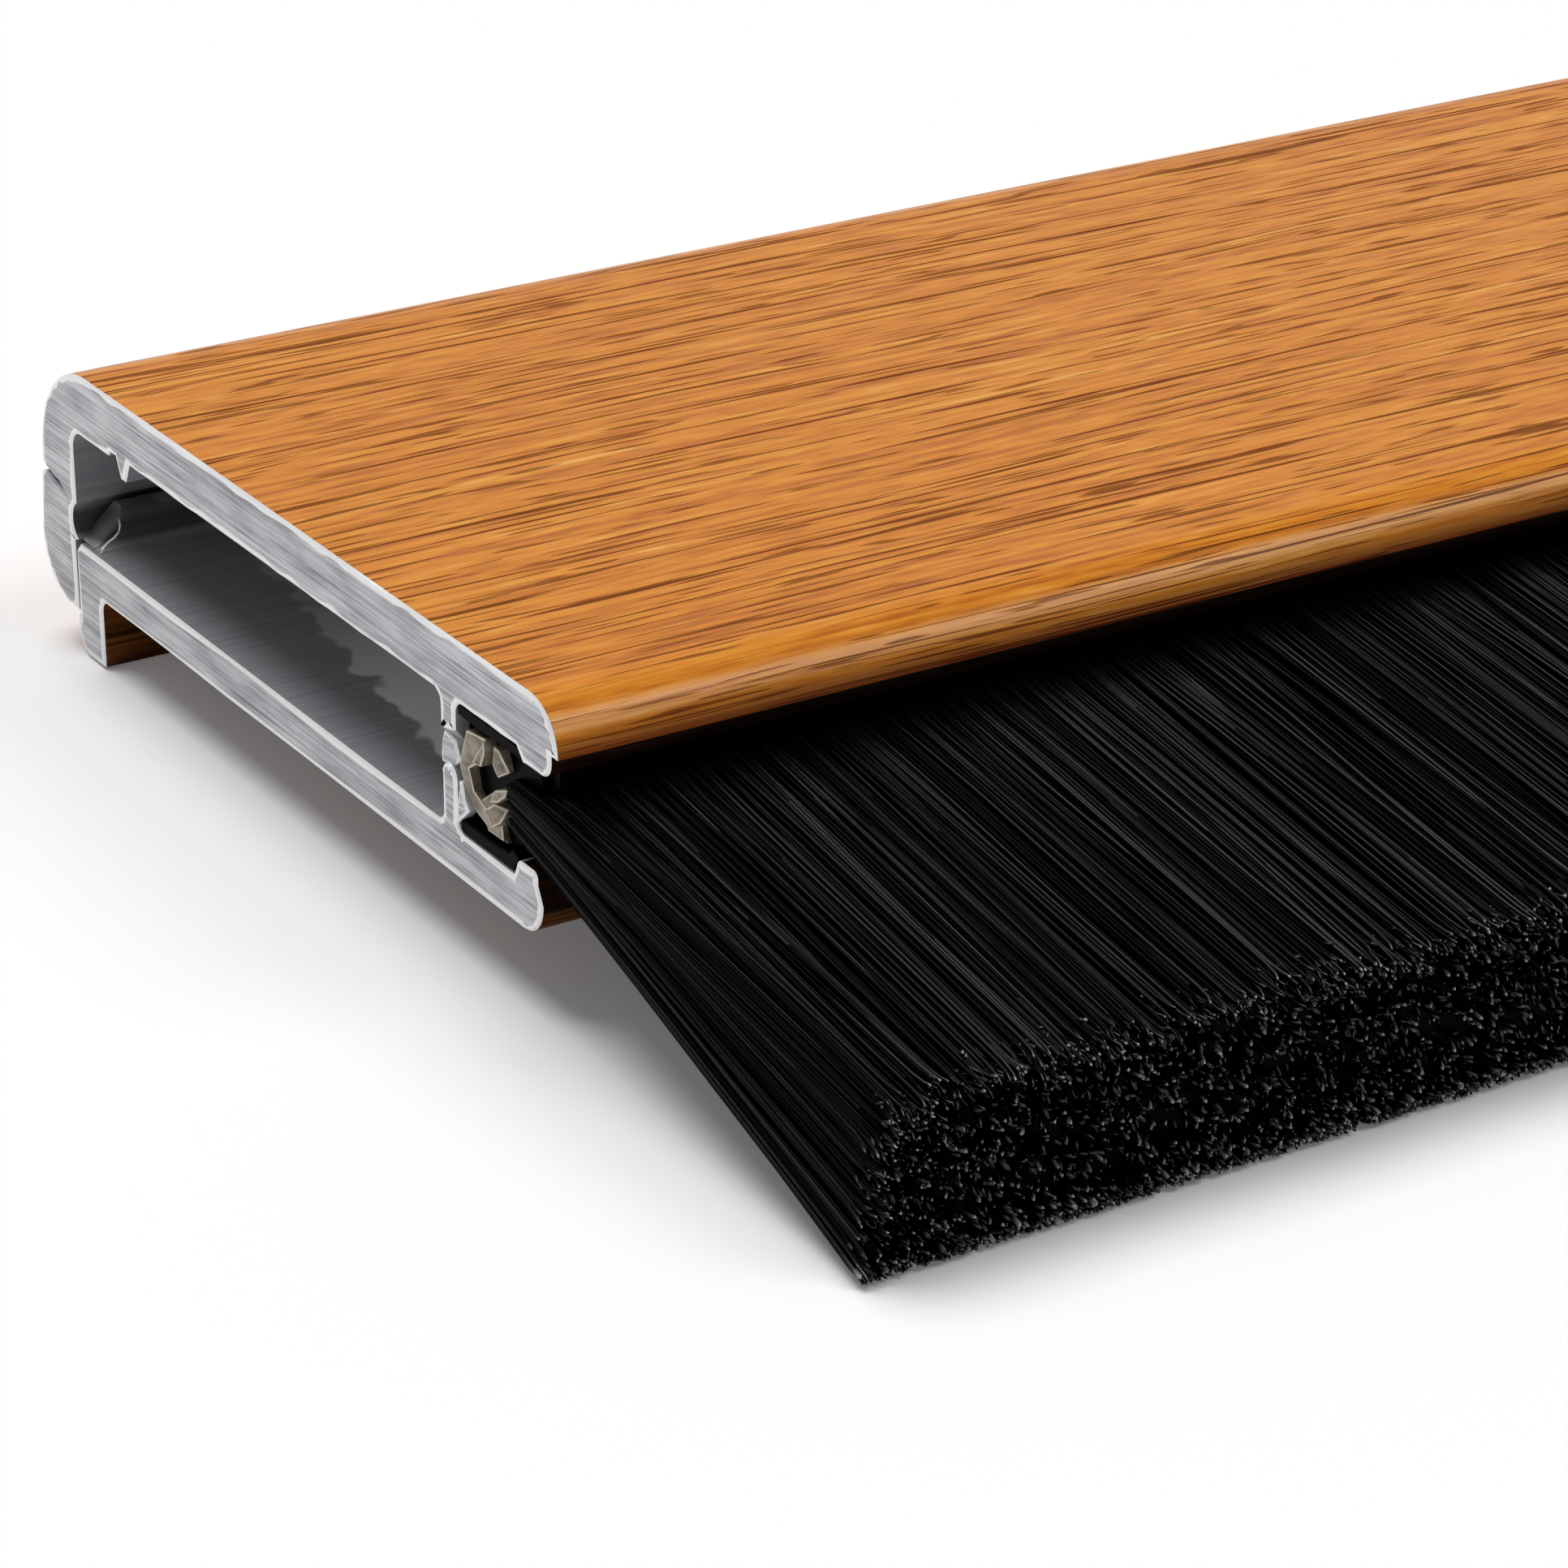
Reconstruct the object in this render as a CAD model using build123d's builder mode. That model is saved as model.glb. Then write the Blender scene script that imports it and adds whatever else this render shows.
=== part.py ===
# Brush door sweep: a two-part aluminium carrier that clips together, with a black nylon strip brush
# held between its front edges. It lies on a bench with the screw side down and the cover face up.
# +X runs along the length, +Y points to the rear edge, the brush tips point to -Y. Millimetres.
import os
from math import sin, sqrt

from build123d import *

# Overall sizes
length = 914.0           # whole strip, one standard door width
carrier_width = 38.0     # rear claw to front nose
brush_reach = 18.0       # filament tips in front of the nose

# Strip brush, which sets the slot that it slides into
channel_height = 3.5
channel_depth = 3.0
channel_wall = 0.45
channel_flat = 0.4       # straight stretch between the channel's rolled corners
channel_mouth = 1.5
channel_clear = 0.5      # channel to the slot's floor and roof
channel_gap = 0.1        # channel back to the legs
wire_radius = 0.5
wire_gap = 0.03
wire_setback = 2.0       # wire cut short of the channel's ends
fold_wall = 0.3          # filaments folded round the wire
brush_clear = 0.12       # filaments to the metal
tip_height = 5.45
floor_run = 0.6          # lowest filaments lie on the floor for this far
brush_sag = 0.55
end_round = 1.5          # top corner of the brush at each end
end_splay = 0.6          # tips spread past the carrier's ends

# Bundles that the filaments gather in
bundle_pitch = 5.0
bundle_shift = 0.9       # how unevenly the bundles are spaced
bundle_turn = 2.4
groove_depth = 0.55
groove_half_width = 0.7

# Plates, rear foot and inner legs
cover_wall = 2.1
base_wall = 1.6
foot_drop = 2.6          # rear foot below the base underside
foot_wall = 2.1
foot_radius = 0.9
foot_ledge = 1.3         # height of the ledge under the claw
leg_wall = 0.9
leg_gap = 0.1            # between the two leg tips
leg_fillet = 0.45
leg_break = 0.9          # cover's leg broken away slantwise at each saw cut, along the strip
break_height = 1.0

# Cover, rear corner and claw
rear_radius = 4.0
upper_inset = 0.4        # upper rear wall stands this far inside the claw
rear_wall = 2.65
inner_radius = 0.7
pad_drop = 0.2           # thicker plate between the rear wall and the rib
rib_set = 4.3            # pointed rib under the plate, from the rear wall
rib_root = 1.0
rib_tip = 0.3
rib_drop = 0.75
claw_wall = 2.75
claw_radius = 2.3
claw_lean = 0.3
claw_gap = 0.2           # claw to the base, all round
seam_margin = 0.35       # plain wall between the corner radius and the seam groove
seam_depth = 0.35
seam_width = 0.4

# Snap bead of the base and its pocket in the claw
bead_radius = 0.6
bead_set = 0.5           # bead centre from the base's rear face
bead_neck = 0.7
bead_relief = 1.0        # bead cleared away at each sawn end
snap_gap = 0.2
hook_reach = 0.1         # claw hooks this far over the base plate
hook_gap = 0.1
cusp_run = 0.4

# Front edges that hold the brush
slot_margin = 0.9        # channel's open side to the cover's lip
lip_length = 2.5
lip_drop = 0.42
lip_step = 0.4
lip_height = 0.85
lip_radius = 0.6
rim_setback = 1.4        # base rim's face behind the nose
rim_width = 1.5
rim_height = 0.64
rim_root = 0.2
rim_radius = 0.25
rim_round = 0.3
base_nose_setback = 1.1
base_nose_radius = 1.2

# Screw holes in the base plate, hidden under the cover
hole_radius = 2.25
hole_end = 75.0
hole_count = 4

# Heights above the floor, and depths from the rear edge, that follow from the sizes above
base_under = foot_drop
base_top = base_under + base_wall
cover_under = base_top + channel_height + 2 * channel_clear
cover_top = cover_under + cover_wall
slot_mid = (base_top + cover_under) / 2
whole_depth = carrier_width + brush_reach
rear = whole_depth / 2
end_plane = Plane.YZ.offset(-length / 2)
base_rear = claw_wall + claw_gap
lip_back = carrier_width - lip_length
channel_back = lip_back - slot_margin - channel_depth
leg_front = channel_back - channel_gap
leg_back = leg_front - leg_wall
leg_round = leg_wall / 2
cover_leg_tip = slot_mid + leg_gap / 2
base_leg_tip = slot_mid - leg_gap / 2
bead_depth = base_rear + bead_set
pocket_radius = bead_radius + snap_gap
cusp_depth = base_rear + hook_reach
pocket_half = sqrt(pocket_radius**2 - (bead_depth - cusp_depth) ** 2)
bead_height = base_top + hook_gap + pocket_half


def at(depth, height):
    return (rear - depth, height)


# Cover extrusion: face plate, rounded rear corner, claw, inner leg and front nose
claw_foot = foot_ledge + claw_gap
claw_centre = claw_foot + claw_radius
seam_top = cover_top - rear_radius - seam_margin
seam_foot = seam_top - seam_width
rear_inner = upper_inset + rear_wall
pad_under = cover_under - pad_drop
rib_depth = rear_inner + rib_set
lip_under = cover_under - lip_drop
lip_top = lip_under + lip_height
lip_front = carrier_width - lip_step
nose_radius = cover_top - lip_top
upper_cusp = at(cusp_depth, bead_height + pocket_half)
lower_cusp = at(cusp_depth, bead_height - pocket_half)

with BuildPart() as cover_profile:
    with BuildSketch(end_plane):
        with BuildLine():
            Line(at(upper_inset + rear_radius, cover_top), at(carrier_width - nose_radius, cover_top))
            RadiusArc(at(carrier_width - nose_radius, cover_top), at(carrier_width, lip_top), -nose_radius)
            Polyline(at(carrier_width, lip_top), at(lip_front, lip_top),
                     at(lip_front, lip_under + lip_radius))
            RadiusArc(at(lip_front, lip_under + lip_radius), at(lip_front - lip_radius, lip_under),
                      -lip_radius)
            Polyline(at(lip_front - lip_radius, lip_under), at(lip_back + lip_drop, lip_under),
                     at(lip_back, cover_under), at(leg_front + leg_fillet, cover_under))
            RadiusArc(at(leg_front + leg_fillet, cover_under), at(leg_front, cover_under - leg_fillet),
                      leg_fillet)
            Line(at(leg_front, cover_under - leg_fillet), at(leg_front, cover_leg_tip + leg_round))
            ThreePointArc(at(leg_front, cover_leg_tip + leg_round), at(leg_back + leg_round, cover_leg_tip),
                          at(leg_back, cover_leg_tip + leg_round))
            Line(at(leg_back, cover_leg_tip + leg_round), at(leg_back, cover_under - leg_fillet))
            RadiusArc(at(leg_back, cover_under - leg_fillet), at(leg_back - leg_fillet, cover_under),
                      leg_fillet)
            Polyline(at(leg_back - leg_fillet, cover_under), at(rib_depth + rib_root / 2, cover_under),
                     at(rib_depth + rib_tip / 2, cover_under - rib_drop),
                     at(rib_depth - rib_tip / 2, cover_under - rib_drop),
                     at(rib_depth - rib_root / 2, cover_under), at(rib_depth - rib_root, cover_under),
                     at(rib_depth - rib_root - pad_drop, pad_under), at(rear_inner + inner_radius, pad_under))
            RadiusArc(at(rear_inner + inner_radius, pad_under), at(rear_inner, pad_under - inner_radius),
                      inner_radius)
            Polyline(at(rear_inner, pad_under - inner_radius),
                     at(rear_inner, bead_height + pocket_half + cusp_run), upper_cusp)
            ThreePointArc(upper_cusp, at(bead_depth - pocket_radius, bead_height), lower_cusp)
            Polyline(lower_cusp, at(claw_wall, base_top), at(claw_wall, claw_foot),
                     at(claw_radius, claw_foot))
            RadiusArc(at(claw_radius, claw_foot), at(0, claw_centre), -claw_radius)
            Polyline(at(0, claw_centre), at(claw_lean, seam_foot),
                     at(upper_inset + seam_depth, (seam_foot + seam_top) / 2), at(upper_inset, seam_top),
                     at(upper_inset, cover_top - rear_radius))
            RadiusArc(at(upper_inset, cover_top - rear_radius), at(upper_inset + rear_radius, cover_top),
                      -rear_radius)
        make_face()
    extrude(amount=length)
    for end in (-1, 1):
        with BuildSketch(Plane.XZ.offset(leg_back - rear)):
            with BuildLine():
                Polyline((end * length / 2, cover_leg_tip), (end * length / 2, cover_leg_tip + break_height),
                         (end * (length / 2 - leg_break), cover_leg_tip), close=True)
            make_face()
        extrude(amount=leg_wall, mode=Mode.SUBTRACT)

# Base extrusion: plate, rear foot, front leg, rim and nose, and the snap bead between the sawn ends
foot_front = claw_wall + foot_wall
rim_face = carrier_width - rim_setback
rim_top = base_top + rim_height
base_nose = carrier_width - base_nose_setback
hole_pitch = (length - 2 * hole_end) / (hole_count - 1)

with BuildPart() as base_profile:
    with BuildSketch(end_plane) as base_section:
        with BuildLine():
            Polyline(at(base_rear, base_top), at(base_rear, foot_ledge), at(claw_wall, foot_ledge),
                     at(claw_wall, foot_radius))
            RadiusArc(at(claw_wall, foot_radius), at(claw_wall + foot_radius, 0), foot_radius)
            Polyline(at(claw_wall + foot_radius, 0), at(foot_front, 0),
                     at(foot_front, base_under - leg_fillet))
            RadiusArc(at(foot_front, base_under - leg_fillet), at(foot_front + leg_fillet, base_under),
                      -leg_fillet)
            Line(at(foot_front + leg_fillet, base_under), at(base_nose - base_nose_radius, base_under))
            RadiusArc(at(base_nose - base_nose_radius, base_under),
                      at(base_nose, base_under + base_nose_radius), base_nose_radius)
            Polyline(at(base_nose, base_under + base_nose_radius), at(rim_face, base_top + rim_root),
                     at(rim_face, rim_top - rim_radius))
            RadiusArc(at(rim_face, rim_top - rim_radius), at(rim_face - rim_radius, rim_top), rim_radius)
            Polyline(at(rim_face - rim_radius, rim_top), at(rim_face - rim_width + rim_height / 2, rim_top),
                     at(rim_face - rim_width, base_top), at(leg_front + leg_fillet, base_top))
            RadiusArc(at(leg_front + leg_fillet, base_top), at(leg_front, base_top + leg_fillet),
                      -leg_fillet)
            Line(at(leg_front, base_top + leg_fillet), at(leg_front, base_leg_tip - leg_round))
            ThreePointArc(at(leg_front, base_leg_tip - leg_round), at(leg_back + leg_round, base_leg_tip),
                          at(leg_back, base_leg_tip - leg_round))
            Line(at(leg_back, base_leg_tip - leg_round), at(leg_back, base_top + leg_fillet))
            RadiusArc(at(leg_back, base_top + leg_fillet), at(leg_back - leg_fillet, base_top), -leg_fillet)
            Line(at(leg_back - leg_fillet, base_top), at(base_rear, base_top))
        make_face()
        rim_corner = at(rim_face - rim_width + rim_height / 2, rim_top)
        fillet(base_section.vertices().sort_by_distance((*rim_corner, 0))[0], rim_round)
    extrude(amount=length)
    with BuildSketch(end_plane.offset(bead_relief)):
        with Locations(at(bead_depth, bead_height)):
            Circle(bead_radius)
        with Locations(at(bead_depth + bead_radius - bead_neck / 2, base_top)):
            Rectangle(bead_neck, bead_height - base_top, align=(Align.CENTER, Align.MIN))
    extrude(amount=length - 2 * bead_relief)
    with Locations((0, rear - carrier_width / 2, base_top)):
        with GridLocations(hole_pitch, 1, hole_count, 1):
            Hole(hole_radius, depth=base_wall)

# Galvanised steel channel, rolled closed on the filaments
channel_radius = (min(channel_depth, channel_height) - channel_flat) / 2

with BuildPart() as brush_channel:
    with BuildSketch(end_plane):
        with Locations(at(channel_back + channel_depth / 2, slot_mid)):
            RectangleRounded(channel_depth, channel_height, channel_radius)
            RectangleRounded(channel_depth - 2 * channel_wall, channel_height - 2 * channel_wall,
                             channel_radius - channel_wall, mode=Mode.SUBTRACT)
        with Locations(at(channel_back + channel_depth, slot_mid)):
            Rectangle(channel_depth, channel_mouth, mode=Mode.SUBTRACT)
    extrude(amount=length)

# Core wire that the filaments are folded round
fold_radius = wire_radius + wire_gap + fold_wall
wire_depth = channel_back + channel_wall + brush_clear + fold_radius

with BuildPart() as core_wire:
    with BuildSketch(end_plane.offset(wire_setback)):
        with Locations(at(wire_depth, slot_mid)):
            Circle(wire_radius)
    extrude(amount=length - 2 * wire_setback)

# Filament pack: folded root, neck through the channel's mouth, and a fan down to the floor
neck_half = channel_mouth / 2 - brush_clear
neck_front = channel_back + channel_depth + brush_clear
fan_top = lip_under - brush_clear
fan_low = rim_top + brush_clear
floor_start = whole_depth - floor_run
sag_point = at((lip_front + floor_start) / 2, fan_low / 2 + brush_sag)


def comb(bar):
    half = length / 2 + end_splay
    count = int(length / bundle_pitch) - 1
    first = -bundle_pitch * (count - 1) / 2
    points = [(-half, bar), (-half, groove_half_width)]
    for step in range(count):
        place = first + step * bundle_pitch + bundle_shift * sin(bundle_turn * step)
        points += [(place - groove_half_width, groove_half_width), (place, 0),
                   (place + groove_half_width, groove_half_width)]
    return points + [(half, groove_half_width), (half, bar)]


top_run = Vector(0, lip_front - whole_depth, tip_height - groove_depth - fan_top)
top_plane = Plane(origin=(0, *at(lip_front, fan_top)), x_dir=(1, 0, 0), z_dir=top_run)
tip_plane = Plane(origin=(0, groove_depth - rear, 0), x_dir=(1, 0, 0), z_dir=(0, 0, -1))
bar_height = 2 * groove_half_width

with BuildPart() as bristle_pack:
    with BuildSketch(end_plane.offset(-end_splay)):
        with BuildLine():
            Polyline(at(lip_front, fan_low), at(lip_front, fan_top), at(whole_depth, tip_height),
                     at(whole_depth, 0), at(floor_start, 0))
            ThreePointArc(at(floor_start, 0), sag_point, at(lip_front, fan_low))
        make_face()
    extrude(amount=length + 2 * end_splay)
    with BuildSketch():
        with BuildLine():
            Polyline((-length / 2, rear - lip_front), (length / 2, rear - lip_front),
                     (length / 2 + end_splay, -rear), (-length / 2 - end_splay, -rear), close=True)
        make_face()
    extrude(amount=cover_top, mode=Mode.INTERSECT)
    top_corner = Vector((length + end_splay) / 2, rear - (lip_front + whole_depth) / 2, (fan_top + tip_height) / 2)
    fillet([bristle_pack.edges().sort_by_distance((end * top_corner.X, top_corner.Y, top_corner.Z))[0]
            for end in (-1, 1)], end_round)
    with BuildSketch(end_plane):
        with BuildLine():
            Polyline(at(lip_front, fan_low), at(neck_front, slot_mid - neck_half),
                     at(wire_depth, slot_mid - neck_half), at(wire_depth, slot_mid + neck_half),
                     at(neck_front, slot_mid + neck_half), at(lip_front, fan_top), close=True)
        make_face()
        with Locations(at(wire_depth, slot_mid)):
            Circle(fold_radius)
            Circle(wire_radius + wire_gap, mode=Mode.SUBTRACT)
    extrude(amount=length)
    with BuildSketch(top_plane):
        with BuildLine():
            Polyline(*comb(bar_height), close=True)
        make_face()
    extrude(amount=top_run.length + groove_depth, mode=Mode.SUBTRACT)
    with BuildSketch(tip_plane):
        with BuildLine():
            Polyline(*comb(bar_height), close=True)
        make_face()
    extrude(amount=tip_height, both=True, mode=Mode.SUBTRACT)

os.makedirs("parts", exist_ok=True)
for name, piece in (("cover_profile", cover_profile), ("base_profile", base_profile),
                    ("brush_channel", brush_channel), ("core_wire", core_wire),
                    ("bristle_pack", bristle_pack)):
    piece.part.label = name
    export_step(piece.part, f"parts/{name}.step")
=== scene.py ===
import math
import random
from types import SimpleNamespace

import bmesh
import bpy
from mathutils import Euler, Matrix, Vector
from mathutils.geometry import tessellate_polygon


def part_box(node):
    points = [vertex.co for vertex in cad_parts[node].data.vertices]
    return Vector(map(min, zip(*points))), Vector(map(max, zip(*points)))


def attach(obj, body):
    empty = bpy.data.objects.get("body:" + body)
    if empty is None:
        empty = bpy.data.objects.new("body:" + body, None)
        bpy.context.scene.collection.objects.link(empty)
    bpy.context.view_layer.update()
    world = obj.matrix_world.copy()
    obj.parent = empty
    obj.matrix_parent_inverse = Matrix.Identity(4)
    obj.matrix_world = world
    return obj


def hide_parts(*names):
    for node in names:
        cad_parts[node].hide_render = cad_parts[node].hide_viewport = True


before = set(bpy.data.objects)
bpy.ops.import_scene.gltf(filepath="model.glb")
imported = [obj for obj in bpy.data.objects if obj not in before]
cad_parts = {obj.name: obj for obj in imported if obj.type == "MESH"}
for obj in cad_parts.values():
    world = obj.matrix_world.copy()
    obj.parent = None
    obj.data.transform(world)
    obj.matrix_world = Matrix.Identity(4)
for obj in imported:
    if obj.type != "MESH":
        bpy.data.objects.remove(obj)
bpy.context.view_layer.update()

mm = 0.001
coverLow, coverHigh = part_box("cover_profile")
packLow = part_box("bristle_pack")[0]
endLow, endHigh = coverLow.x / mm, coverHigh.x / mm
rear = coverHigh.y / mm
tipDepth = rear - packLow.y / mm


def hexColour(code):
    parts = [int(code[i:i + 2], 16) / 255 for i in (1, 3, 5)]
    return tuple(p / 12.92 if p <= 0.04045 else ((p + 0.055) / 1.055) ** 2.4 for p in parts) + (1.0,)


def feed(tree, node, feeds):
    for key, value in feeds.items():
        if isinstance(value, bpy.types.NodeSocket):
            tree.links.new(value, node.inputs[key])
        else:
            node.inputs[key].default_value = value


def addNode(tree, kind, feeds=None, stops=(), **settings):
    node = tree.nodes.new(kind)
    for name, value in settings.items():
        setattr(node, name, value)
    feed(tree, node, feeds or {})
    if stops:  # places and colours along a colour ramp
        elements = node.color_ramp.elements
        while len(elements) < len(stops):
            elements.new(0.5)
        for element, (place, code) in zip(elements, stops):
            element.position = place
            element.color = hexColour(code)
    return node


signs = {"+": "ADD", "-": "SUBTRACT", "*": "MULTIPLY", "/": "DIVIDE", "*+": "MULTIPLY_ADD"}
# What a step can do besides arithmetic: the node's kind, its inputs in order, its output, its settings.
acts = {
    "blend": ("ShaderNodeMix", ("Factor", "A", "B"), "Result", {"data_type": "RGBA"}),
    "chance": ("FunctionNodeRandomValue", (2, 3, "ID", "Seed"), 1, {}),
    "ease": ("ShaderNodeMapRange", (0, 1, 2), 0, {"interpolation_type": "SMOOTHSTEP"}),
    "map": ("ShaderNodeMapRange", (0, 1, 2, 3, 4), 0, {}),
    "noise": ("ShaderNodeTexNoise", ("Vector", "Scale", "Detail", "Distortion", "Roughness"), 0, {}),
    "point": ("ShaderNodeCombineXYZ", (0, 1, 2), 0, {}),
    "stretch": ("ShaderNodeVectorMath", (0, 1), 0, {"operation": "MULTIPLY"}),
}


def workOut(tree, values, steps):
    # A step is "name = a * b + c" or "name = act a b", or a tuple where a term is worked out beside it.
    for step in steps:
        if isinstance(step, str):
            name, _, *words = step.split()
            if len(words) > 1 and words[1] in signs:  # signs stand between the terms
                words = ["".join(words[1::2]), *words[::2]]
            step = (name, *words)
        name, act, *terms = step
        sums = ("ShaderNodeMath", (0, 1, 2), 0, {"operation": signs.get(act, act)})
        kind, keys, out, settings = acts.get(act, sums)
        terms = [values.get(term, term) if isinstance(term, str) else term for term in terms]
        terms = [term if not isinstance(term, str) else hexColour(term) if term[0] == "#" else float(term)
                 for term in terms]
        values[name] = addNode(tree, kind, dict(zip(keys, terms)), **settings).outputs[out]


def newMaterial(name, look, *stored):
    # Its first values are those of the look and the numbers stored on the mesh.
    material = bpy.data.materials.new(name)
    material.use_nodes = True
    tree = material.node_tree
    values = dict(look)
    for key in stored:
        values[key] = addNode(tree, "ShaderNodeAttribute", attribute_name=key).outputs["Fac"]
    return material, tree, tree.nodes["Principled BSDF"], values


def places(tree):
    # Millimetres along the strip, from its rear edge, and above the floor.
    axes = addNode(tree, "ShaderNodeTexCoord").outputs["Object"]
    axes = addNode(tree, "ShaderNodeSeparateXYZ", {0: axes}).outputs
    values = {"x": axes["X"], "y": axes["Y"], "z": axes["Z"]}
    workOut(tree, values, [("along", "/", "x", mm), ("depth", "*+", "y", -1 / mm, rear),
                           ("height", "/", "z", mm)])
    return values


# Printed wood-grain film on the outside of both extrusions: satin, the grain along the strip.
filmLook = dict(
    deep="#b4620c", middle="#d27e19", pale="#de9029", fleck="#ebb05c", pore="#541c04", deepAt=0.36,
    middleAt=0.49, paleAt=0.61, fleckAt=0.74, roughness=0.32, ior=1.3,
    # Millimetres along and across the grain, and noise detail; pores are drawn wider than real ones, to show.
    wander=(30.0, 7.0, 1.0), bands=(70.0, 3.0, 2.0), streaks=(20.0, 0.4, 1.5), fibres=(2.0, 0.26, 1.0),
    groups=(20.0, 1.5, 1.0), longPores=(15.0, 0.27, 0.0), pores=(8.0, 0.25, 0.0),
    shortPores=(3.2, 0.24, 0.0), drift=1.0, twist=0.1, shiftAlong=3.1, shiftAcross=5.3, slant=0.5,
    slantFrom=0.37, bandShare=0.12, streakShare=0.46, fibreShare=0.42, crowding=0.03, poreFrom=0.672,
    poreFull=0.735, poreDepth=0.82, poreDull=0.2, poreMatt=0.4, bump=0.4, bumpDepth=0.03, fibreBump=0.8,
    # The front edge: finer grain, a painted highlight stripe with a glossy coat along its middle, and painted
    # shade below that.
    noseFrom=33.0, noseTo=34.0, noseFine=1.3, top=10.8, rubbed="#eeb06c", polish=0.55, polishLow=9.75,
    polishHigh=10.42, glaze=0.16, glazeIor=2.0, glazeRoughness=0.25, burnt="#74320c", burntTop=9.85,
    burntLow=9.2, burntShare=0.85,
)
# Painted shade: a darker copy of the film for the base and its bead, which sit in shade under the cover.
baseShadeFilmLook = dict(
    filmLook, deep="#4a280c", middle="#603613", pale="#7a4719", fleck="#8a5a2c", pore="#1c0c02", polish=0.0,
    burntShare=0.0,
)
# Painted shade: a near-black copy of the film for the lip under the cover's nose and the front face of the
# base's nose, which lie in shadow.
shadeFilmLook = dict(
    baseShadeFilmLook, deep="#150a04", middle="#221107", pale="#341c0a", fleck="#3c2410", pore="#0a0401",
)


def filmMaterial(name, look):
    material, tree, shader, values = newMaterial(name, look, "across")
    values.update(places(tree))
    workOut(tree, values, [
        "front = map depth noseFrom noseTo 0 1", "drop = top - height", "drop = drop * front",
        "across = drop * noseFine + across",
    ])
    layers = ("wander", "bands", "streaks", "fibres", "groups", "longPores", "pores", "shortPores")
    for number, layer in enumerate(layers):
        length, width, detail = look[layer]
        workOut(tree, values, [
            ("u", "*+", "along", 1 / length, look["shiftAlong"] * number),
            ("v", "*+", "across", 1 / width, look["shiftAcross"] * number),
            # a slanting cut through the noise, so that its rows do not show as a comb
            ("t", "*+", "v", "slant", look["slantFrom"] + number), "spot = point u v t",
            (layer, "noise", "spot", 1.0, detail, "twist"),
        ])
        if layer == "wander":  # the lines of the grain wander a little across the strip
            workOut(tree, values, ["wander = wander - 0.5", "across = wander * drift + across"])
    workOut(tree, values, [
        "tone = bands * bandShare", "tone = streaks * streakShare + tone",
        "tone = fibres * fibreShare + tone", "crowd = groups - 0.5",
    ])
    for layer, level in (("longPores", 1.0), ("pores", 0.9), ("shortPores", 0.8)):
        workOut(tree, values, [(layer, "*+", "crowd", "crowding", layer),
                               (layer, "map", layer, "poreFrom", "poreFull", 0.0, level)])
    workOut(tree, values, [
        "marks = MAXIMUM longPores pores", "marks = MAXIMUM marks shortPores",
        # painted shade darkens the lower nose, below the painted highlight
        "scorched = map height burntTop burntLow 0 burntShare", "scorched = scorched * front",
        "pored = marks * poreDepth", "dull = marks * poreDull + roughness", "raised = marks * -1 + 1",
        "raised = fibres * fibreBump + raised", ("mirror", "*+", "marks", -look["poreMatt"], 0.5),
        # a soft-edged painted highlight stripe, uneven along the streaks
        ("shine", "map", "height", "polishLow", look["polishLow"] + 0.25, 0.0, "polish"),
        ("fade", "map", "height", "polishHigh", look["polishHigh"] - 0.2, 0.0, 1.0), "shine = shine * fade",
        "fade = map streaks 0.3 0.6 0.4 1", "shine = shine * fade", "coat = shine * glaze",
    ])
    stops = [(look[tone + "At"], look[tone]) for tone in ("deep", "middle", "pale", "fleck")]
    values["colour"] = addNode(tree, "ShaderNodeValToRGB", {"Fac": values["tone"]}, stops).outputs["Color"]
    workOut(tree, values, ["colour = blend scorched colour burnt", "colour = blend shine colour rubbed",
                           "colour = blend pored colour pore"])
    bump = addNode(tree, "ShaderNodeBump", {"Height": values["raised"], "Strength": look["bump"],
                                            "Distance": look["bumpDepth"] * mm}).outputs[0]
    feed(tree, shader, {
        "Base Color": values["colour"], "Roughness": values["dull"], "Specular IOR Level": values["mirror"],
        "IOR": look["ior"], "Normal": bump, "Coat Normal": bump, "Coat Weight": values["coat"],
        "Coat IOR": look["glazeIor"], "Coat Roughness": look["glazeRoughness"],
    })
    return material


# Bare aluminium where the saw went through: a bevelled burr at the rims, painted near white as a highlight,
# and marks along the plates that are drawn as coarse as they need to show.
cutLook = dict(
    dark="#7a7a81", pale="#dddde1", burr="#fcfcfc", markLength=7.0, markWidth=0.085,
    cloudsPerMm=(1.0, 0.3, 1.4), markShare=0.65, cloudShare=0.35, bump=0.3, bumpDepth=0.03, metallic=0.55,
    roughness=0.42,
)


def cutMaterial(look):
    material, tree, shader, values = newMaterial("sawnAluminium", look, "rim")
    values["place"] = addNode(tree, "ShaderNodeTexCoord").outputs["Object"]
    workOut(tree, values, [
        ("spot", "stretch", "place", (1 / mm, 1 / (look["markLength"] * mm), 1 / (look["markWidth"] * mm))),
        "marks = noise spot 1 4 0.3 0.7",
        ("spot", "stretch", "place", tuple(count / mm for count in look["cloudsPerMm"])),
        "clouds = noise spot 1 3", "tone = marks * markShare", "tone = clouds * cloudShare + tone",
        "rim = ease rim 0.1 0.5",
    ])
    values["colour"] = addNode(tree, "ShaderNodeValToRGB", {"Fac": values["tone"]},
                               [(0.36, look["dark"]), (0.6, look["pale"])]).outputs["Color"]
    # painted highlight: the rim of a cut goes near white
    workOut(tree, values, ["colour = blend rim colour burr"])
    bump = addNode(tree, "ShaderNodeBump", {"Height": values["marks"], "Strength": look["bump"],
                                            "Distance": look["bumpDepth"] * mm}).outputs[0]
    feed(tree, shader, {"Base Color": values["colour"], "Normal": bump, "Metallic": look["metallic"],
                        "Roughness": look["roughness"]})
    return material


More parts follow.
